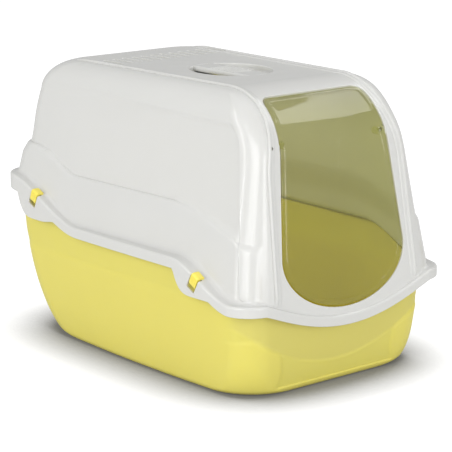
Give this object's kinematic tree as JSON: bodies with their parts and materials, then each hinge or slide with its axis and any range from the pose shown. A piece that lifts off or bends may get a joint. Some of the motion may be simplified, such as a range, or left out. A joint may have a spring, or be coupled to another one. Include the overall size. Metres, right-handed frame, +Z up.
{
  "type": "hooded cat litter box",
  "caption": "Bath-shaped litter tray under a one-piece hood with a curved swing door, rim latches, roof vents with a carbon filter cassette and a sunk carry handle.",
  "frame": {"origin": "centre of the footprint, on the floor", "axes": "+Z up, +Y to the rear, the door faces -Y, +X to the right as seen from the door"},
  "size_m": [0.39, 0.57, 0.41],
  "materials": {
    "tray_yellow": "satin moulded polypropylene",
    "hood_white": "glossy moulded polypropylene",
    "door_tint": "smoky translucent, polished",
    "clip_yellow": "glossy moulded",
    "filter_yellow": "matte moulded",
    "filter_black": "open carbon fleece"
  },
  "bodies": {
    "tray": {"base_tray": "tray_yellow"},
    "hood": {"hood_shell": "hood_white"},
    "door": {"swing_door": "door_tint"},
    "filter": {"filter_grille": "filter_yellow", "carbon_filter": "filter_black", "filter_tray": "filter_yellow"},
    "latch_front_left": {"latch_front_left": "clip_yellow"},
    "latch_front_right": {"latch_front_right": "clip_yellow"},
    "latch_rear_left": {"latch_rear_left": "clip_yellow"},
    "latch_rear_right": {"latch_rear_right": "clip_yellow"}
  },
  "joints": [
    {"name": "hood_lift", "type": "slide", "parent": "tray", "child": "hood", "axis": [0, 0, 1], "range_m": [0, 0.3]},
    {"name": "door_swing", "type": "hinge", "parent": "hood", "child": "door", "pos_m": [0, -0.235, 0.338], "axis": [1, 0, 0], "range_deg": [-60, 60]},
    {"name": "filter_unclip", "type": "slide", "parent": "hood", "child": "filter", "axis": [0, 0, -1], "range_m": [0, 0.07]},
    {"name": "latch_front_left_open", "type": "hinge", "parent": "tray", "child": "latch_front_left", "pos_m": [-0.18605, -0.17694, 0.15154], "axis": [0, -0.8822, -0.4709], "range_deg": [0, 45]},
    {"name": "latch_front_right_open", "type": "hinge", "parent": "tray", "child": "latch_front_right", "pos_m": [0.18605, -0.17694, 0.15154], "axis": [0, 0.8822, 0.4709], "range_deg": [0, 45]},
    {"name": "latch_rear_left_open", "type": "hinge", "parent": "tray", "child": "latch_rear_left", "pos_m": [-0.18592, 0.19508, 0.20331], "axis": [0, -0.9141, -0.4055], "range_deg": [0, 45]},
    {"name": "latch_rear_right_open", "type": "hinge", "parent": "tray", "child": "latch_rear_right", "pos_m": [0.18592, 0.19508, 0.20331], "axis": [0, 0.9141, 0.4055], "range_deg": [0, 45]}
  ]
}
